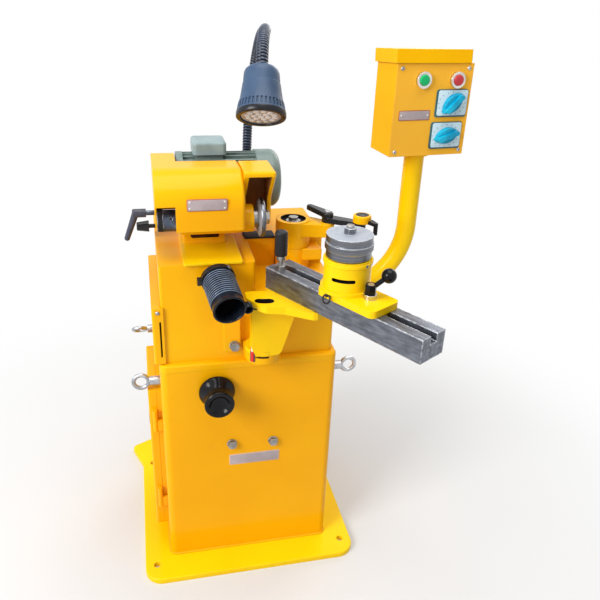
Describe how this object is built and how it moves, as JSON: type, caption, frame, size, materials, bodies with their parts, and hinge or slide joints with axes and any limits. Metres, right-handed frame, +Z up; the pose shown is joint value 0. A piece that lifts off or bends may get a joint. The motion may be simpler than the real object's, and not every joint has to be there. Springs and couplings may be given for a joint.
{
  "type": "saw blade sharpening machine",
  "caption": "Floor-standing grinder that sharpens circular saw blades: cabinet base, tilting grinding head, swivelling slotted rail with blade arbor, index finger, lamp and switch box.",
  "frame": {"origin": "centre of the floor bolt pattern, on the underside of the base plate", "axes": "+Z up, -Y towards the operator's side with the rail, +X towards the control box"},
  "size_m": [0.6887, 0.7114, 1.0688],
  "materials": {
    "yellow_paint": "glossy enamel",
    "bare_steel": "ground and turned steel",
    "dark_steel": "blackened steel",
    "zinc_plate": "zinc plated",
    "motor_paint": "satin enamel",
    "black_plastic": "moulded",
    "neck_sheath": "ribbed sheath",
    "rubber": "moulded",
    "wheel_grit": "plated steel dish",
    "lens": "faceted clear",
    "finger_brass": "machined",
    "bezel_chrome": "plated",
    "plate_plastic": "printed plate",
    "green_plastic": "moulded",
    "red_plastic": "moulded",
    "cyan_plastic": "moulded"
  },
  "bodies": {
    "frame": {"base_plate": "yellow_paint", "cabinet": "yellow_paint", "door_hinges": "yellow_paint", "upper_body": "yellow_paint", "side_cover": "yellow_paint", "eye_bolts": "zinc_plate", "m10_bolts": "bare_steel", "swivel_pin": "bare_steel", "hose_clamp": "bare_steel", "dust_hose": "rubber", "index_column": "yellow_paint", "box_pipe": "yellow_paint", "control_box": "yellow_paint", "box_panel": "yellow_paint", "box_lid": "yellow_paint", "panel_screws": "bare_steel", "button_bezels": "bezel_chrome", "switch_plates": "plate_plastic", "switch_bodies": "black_plastic"},
    "door": {"cabinet_door": "yellow_paint"},
    "latch": {"door_latch": "black_plastic"},
    "feed": {"feed_knob": "black_plastic", "feed_shaft": "bare_steel"},
    "slide": {"slide_plate": "yellow_paint", "pedestal": "yellow_paint", "tilt_pin": "bare_steel"},
    "slide_lock": {"lock_knob": "dark_steel"},
    "head": {"spindle_housing": "yellow_paint", "head_cover": "yellow_paint", "wheel_guard": "yellow_paint", "motor_frame": "motor_paint", "terminal_box": "motor_paint", "spindle_bearings": "bare_steel", "drive_belt": "rubber", "lamp_base": "black_plastic", "gooseneck": "neck_sheath", "lamp_shade": "black_plastic", "lamp_lens": "lens"},
    "clamp_lever": {"tilt_lever": "dark_steel"},
    "wheel_spindle": {"spindle": "bare_steel", "spindle_pulley": "dark_steel", "grinding_wheel": "wheel_grit", "wheel_nut": "bare_steel"},
    "motor_rotor": {"motor_shaft": "bare_steel", "motor_pulley": "dark_steel"},
    "bracket": {"rail_bracket": "yellow_paint"},
    "blade_rail": {"rail": "bare_steel", "handle_post": "bare_steel"},
    "grip": {"handle_grip": "black_plastic"},
    "fixture": {"fixture_base": "yellow_paint"},
    "arbor": {"arbor_spindle": "bare_steel", "arbor_discs": "bare_steel"},
    "rail_clamp": {"ball_lever": "black_plastic"},
    "index_arm_body": {"index_arm": "yellow_paint"},
    "index_link_body": {"index_link": "dark_steel"},
    "index_finger_body": {"index_finger": "finger_brass"},
    "start": {"start_button": "green_plastic"},
    "stop": {"stop_button": "red_plastic"},
    "upper_switch": {"switch_knob_upper": "cyan_plastic"},
    "lower_switch": {"switch_knob_lower": "cyan_plastic"}
  },
  "joints": [
    {"name": "door_hinge", "type": "hinge", "parent": "frame", "child": "door", "pos_m": [-0.184, -0.113, 0.2415], "axis": [0, 0, 1], "range_deg": [0, 110]},
    {"name": "latch_turn", "type": "hinge", "parent": "door", "child": "latch", "pos_m": [-0.178, 0.0425, 0.2415], "axis": [1, 0, 0], "range_deg": [0, 90]},
    {"name": "feed_knob_turn", "type": "hinge", "parent": "frame", "child": "feed", "pos_m": [-0.066, -0.143, 0.424], "axis": [0, -1, 0], "continuous": true},
    {"name": "head_slide", "type": "slide", "parent": "frame", "child": "slide", "axis": [0, 1, 0], "range_m": [0, 0.05]},
    {"name": "slide_lock_turn", "type": "hinge", "parent": "slide", "child": "slide_lock", "pos_m": [-0.066, 0.022, 0.7], "axis": [1, 0, 0], "range_deg": [-90, 90]},
    {"name": "head_tilt", "type": "hinge", "parent": "slide", "child": "head", "pos_m": [-0.066, -0.004, 0.735], "axis": [-1, 0, 0], "range_deg": [-5, 15]},
    {"name": "clamp_lever_turn", "type": "hinge", "parent": "slide", "child": "clamp_lever", "pos_m": [-0.18, -0.004, 0.735], "axis": [1, 0, 0], "range_deg": [-60, 60]},
    {"name": "spindle_spin", "type": "hinge", "parent": "head", "child": "wheel_spindle", "pos_m": [0, -0.088, 0.748], "axis": [1, 0, 0], "continuous": true},
    {"name": "motor_spin", "type": "hinge", "parent": "head", "child": "motor_rotor", "pos_m": [0, 0.035, 0.785], "axis": [1, 0, 0], "continuous": true},
    {"name": "bracket_swivel", "type": "hinge", "parent": "frame", "child": "bracket", "pos_m": [0.018, -0.165, 0.505], "axis": [0, 0, 1], "range_deg": [-5, 30]},
    {"name": "rail_slide", "type": "slide", "parent": "bracket", "child": "blade_rail", "axis": [0.5151, -0.8571, 0], "range_m": [-0.02, 0.02]},
    {"name": "grip_spin", "type": "hinge", "parent": "blade_rail", "child": "grip", "pos_m": [0.04576, -0.17164, 0.68], "axis": [0, 0, 1], "continuous": true},
    {"name": "fixture_slide", "type": "slide", "parent": "blade_rail", "child": "fixture", "axis": [0.5151, -0.8571, 0], "range_m": [-0.065, 0.08]},
    {"name": "arbor_spin", "type": "hinge", "parent": "fixture", "child": "arbor", "pos_m": [0.13107, -0.28137, 0.68], "axis": [0, 0, 1], "continuous": true},
    {"name": "rail_clamp_turn", "type": "hinge", "parent": "fixture", "child": "rail_clamp", "pos_m": [0.15734, -0.32509, 0.68], "axis": [0, 0, 1], "range_deg": [-60, 35]},
    {"name": "index_arm_swing", "type": "hinge", "parent": "frame", "child": "index_arm_body", "pos_m": [0.1, -0.02, 0.742], "axis": [0, 0, 1], "range_deg": [-25, 25]},
    {"name": "index_link_swing", "type": "hinge", "parent": "index_arm_body", "child": "index_link_body", "pos_m": [0.16, -0.05, 0.742], "axis": [0, 0, 1], "range_deg": [-30, 30]},
    {"name": "index_finger_swing", "type": "hinge", "parent": "index_link_body", "child": "index_finger_body", "pos_m": [0.216, -0.088, 0.742], "axis": [0, 0, 1], "range_deg": [-40, 40]},
    {"name": "start_press", "type": "slide", "parent": "frame", "child": "start", "axis": [-0.1219, 0.9925, 0], "range_m": [0, 0.003], "stiffness_N_per_m": 400},
    {"name": "stop_press", "type": "slide", "parent": "frame", "child": "stop", "axis": [-0.1219, 0.9925, 0], "range_m": [0, 0.003], "stiffness_N_per_m": 400},
    {"name": "upper_switch_turn", "type": "hinge", "parent": "frame", "child": "upper_switch", "pos_m": [0.4016, -0.00932, 0.934], "axis": [0.1219, -0.9925, 0], "range_deg": [-45, 45]},
    {"name": "lower_switch_turn", "type": "hinge", "parent": "frame", "child": "lower_switch", "pos_m": [0.39714, -0.00986, 0.874], "axis": [0.1219, -0.9925, 0], "range_deg": [-45, 45]}
  ],
  "couplings": [
    {"joint": "motor_spin", "follows": "spindle_spin", "ratio": 0.77578}
  ]
}
